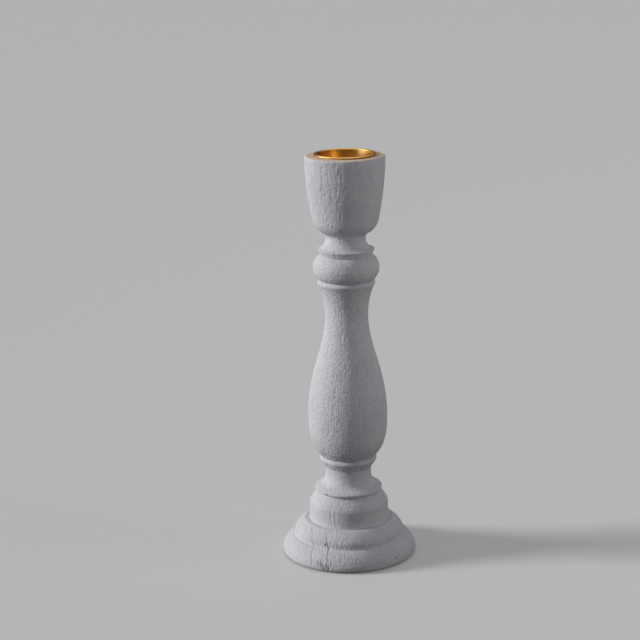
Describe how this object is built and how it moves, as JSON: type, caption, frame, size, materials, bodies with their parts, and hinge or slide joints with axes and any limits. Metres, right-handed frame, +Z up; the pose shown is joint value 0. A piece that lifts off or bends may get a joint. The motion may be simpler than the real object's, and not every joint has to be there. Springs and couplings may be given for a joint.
{
  "type": "candlestick",
  "caption": "Turned wooden candlestick painted white, on a stepped round foot, with a lift-out metal candle cup let into its tapered top.",
  "frame": {"origin": "middle of the felt pad's underside, where the candlestick stands", "axes": "+Z up along the turned axis; X and Y lie in the table's plane"},
  "size_m": [0.078, 0.078, 0.2356],
  "materials": {
    "painted_wood": "matt chalk paint over open grain",
    "bare_wood": "unfinished",
    "screw_steel": "zinc plated",
    "felt": "pressed felt",
    "gilt_metal": "polished"
  },
  "bodies": {
    "candlestick": {"foot_turning": "painted_wood", "stem_turning": "painted_wood", "socket_turning": "painted_wood", "fluted_dowel": "bare_wood", "foot_screw": "screw_steel", "felt_pad": "felt"},
    "lift_out_cup": {"candle_cup": "gilt_metal"}
  },
  "joints": [
    {"name": "candle_cup_lift", "type": "slide", "parent": "candlestick", "child": "lift_out_cup", "axis": [0, 0, 1], "range_m": [0, 0.035]}
  ]
}
